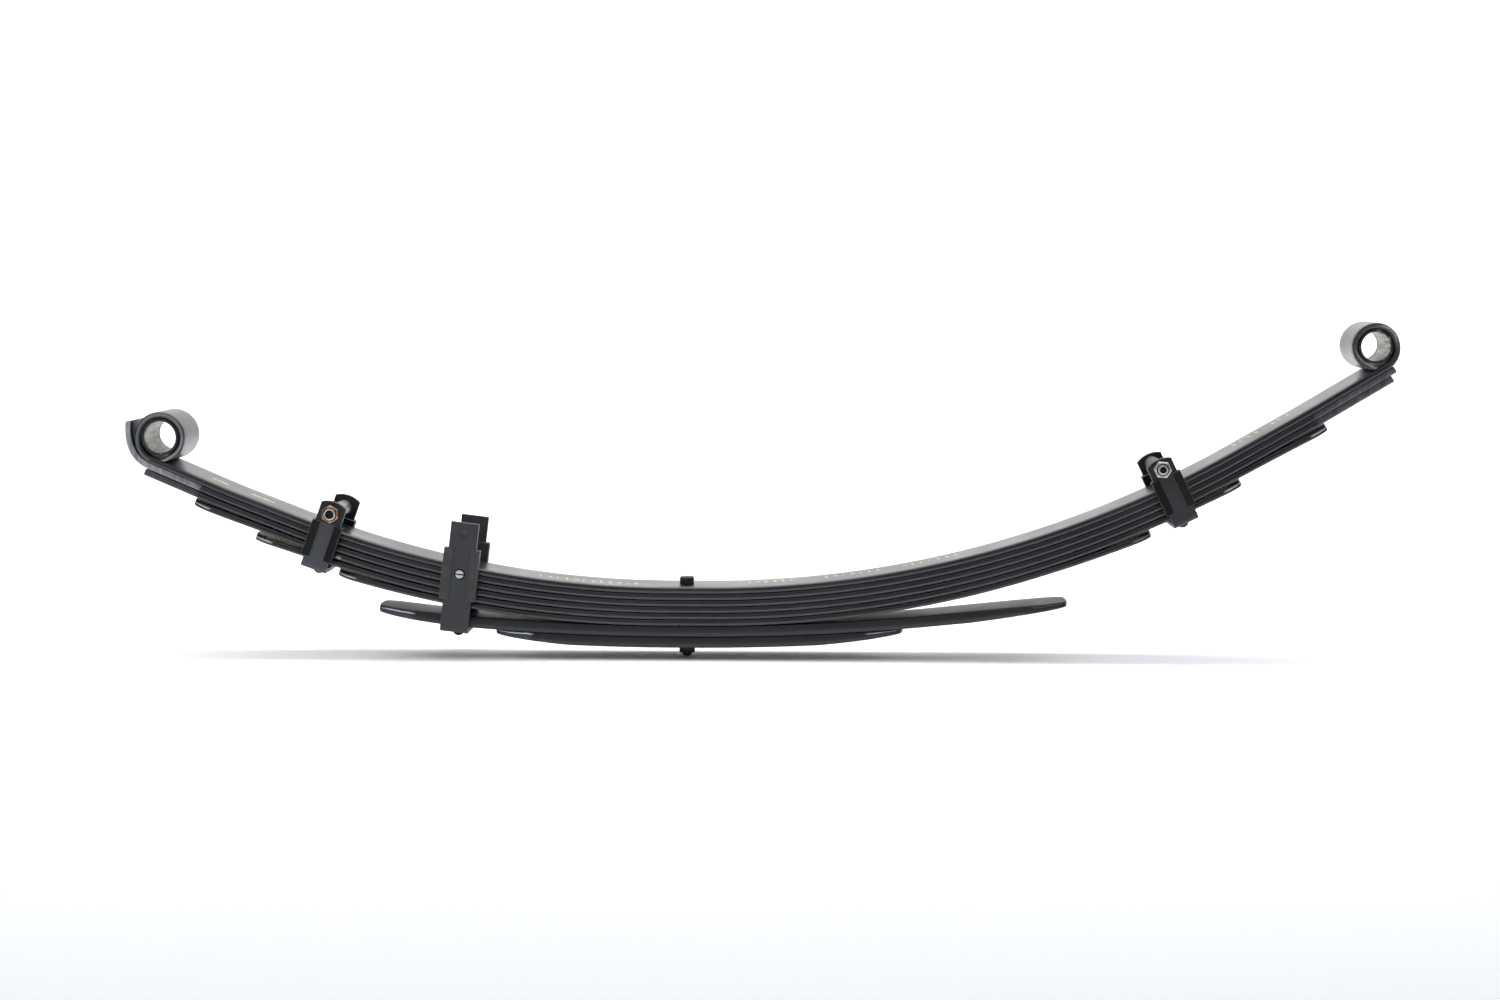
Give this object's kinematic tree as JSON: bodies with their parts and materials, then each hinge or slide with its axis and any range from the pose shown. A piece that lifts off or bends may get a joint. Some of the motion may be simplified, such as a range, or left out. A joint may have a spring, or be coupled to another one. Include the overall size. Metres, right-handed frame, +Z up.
{
  "type": "leaf spring",
  "caption": "Multi-leaf rear suspension spring with two rolled eyes, helper leaves and three U-shaped clips; carries an axle and flexes under load.",
  "frame": {"origin": "on the centre bolt's axis, at the main leaf's top face, where the axle's spring seat bears", "axes": "+X runs from the centre bolt towards the rear eye along the pack, +Y across the leaves, +Z up, out of the pack on the side that the eyes curl to"},
  "size_m": [1.3618, 0.0916, 0.364],
  "materials": {
    "leaf_steel": "satin black paint over rolled spring steel",
    "strap_steel": "satin black paint over pressed steel strip",
    "nylon": "matte black moulded nylon",
    "bare_sleeve": "bare turned steel with ragged paint at the edges",
    "zinc": "bright zinc plate",
    "yellow_passivated": "zinc plate with a coppery passivation",
    "black_fastener": "painted over with the pack"
  },
  "bodies": {
    "centre_pack": {"main_leaf": "leaf_steel", "second_leaf": "leaf_steel", "third_leaf": "leaf_steel", "fourth_leaf": "leaf_steel", "fifth_leaf": "leaf_steel", "sixth_leaf": "leaf_steel", "upper_helper_leaf": "leaf_steel", "lower_helper_leaf": "leaf_steel", "centre_bolt": "black_fastener", "centre_nut": "black_fastener", "guide_clip_strap": "strap_steel", "guide_clip_liner_near": "nylon", "guide_clip_liner_far": "nylon", "guide_clip_rivet": "black_fastener"},
    "front_link": {"front_eye_sleeve": "bare_sleeve", "front_clip_strap": "strap_steel", "front_clip_liner_near": "nylon", "front_clip_liner_far": "nylon", "front_clip_spacer": "zinc", "front_clip_bolt": "zinc", "front_clip_nut": "yellow_passivated", "front_clip_rivet": "black_fastener"},
    "rear_link": {"rear_eye_sleeve": "bare_sleeve", "rear_clip_strap": "strap_steel", "rear_clip_liner_near": "nylon", "rear_clip_liner_far": "nylon", "rear_clip_spacer": "zinc", "rear_clip_bolt": "zinc", "rear_clip_nut": "zinc", "rear_clip_rivet": "black_fastener"}
  },
  "joints": [
    {"name": "front_flex", "type": "hinge", "parent": "centre_pack", "child": "front_link", "pos_m": [-0.095, 0, -0.02], "axis": [0, -1, 0], "range_deg": [-1.5, 3.4], "stiffness_Nm_per_rad": 4400, "deforming": ["main_leaf", "second_leaf", "third_leaf", "fourth_leaf", "fifth_leaf", "sixth_leaf"]},
    {"name": "rear_flex", "type": "hinge", "parent": "centre_pack", "child": "rear_link", "pos_m": [0.095, 0, -0.02], "axis": [0, 1, 0], "range_deg": [-1.5, 5.4], "stiffness_Nm_per_rad": 3700, "deforming": ["main_leaf", "second_leaf", "third_leaf", "fourth_leaf", "fifth_leaf", "sixth_leaf"]}
  ]
}
